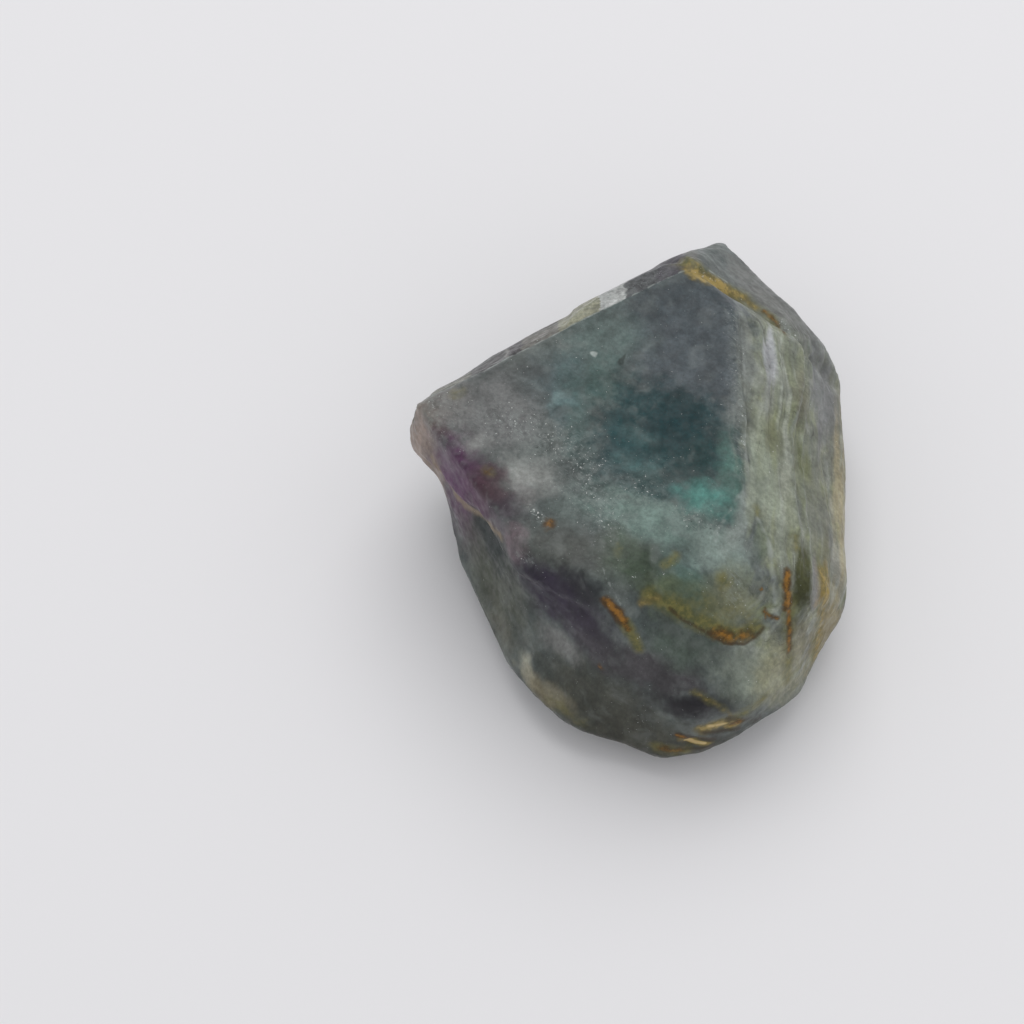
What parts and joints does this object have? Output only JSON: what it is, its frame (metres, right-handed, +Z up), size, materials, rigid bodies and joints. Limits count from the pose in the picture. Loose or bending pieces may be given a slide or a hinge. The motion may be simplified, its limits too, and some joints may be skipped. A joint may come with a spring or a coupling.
{
  "type": "fluorite crystal",
  "caption": "Rough octahedral cleavage fragment of banded green, teal and purple fluorite, with flat cleavage faces, a splintery side and a worn front.",
  "frame": {"origin": "on the flat rest under the middle of the bounding box", "axes": "+Z up out of the flat rest, +Y along the crystal's length from its worn front to its pointed back, +X to the splintery right side"},
  "size_m": [0.0398, 0.0474, 0.0224],
  "materials": {
    "fluorite": "rough natural fluorite: teal to grey-green inside, purple zones at the left and front left, cloudy white veils, orange iron stains in the seams; flat cleavage faces, satin to waxy"
  },
  "bodies": {
    "root": {"fluorite_crystal": "fluorite"}
  },
  "joints": []
}
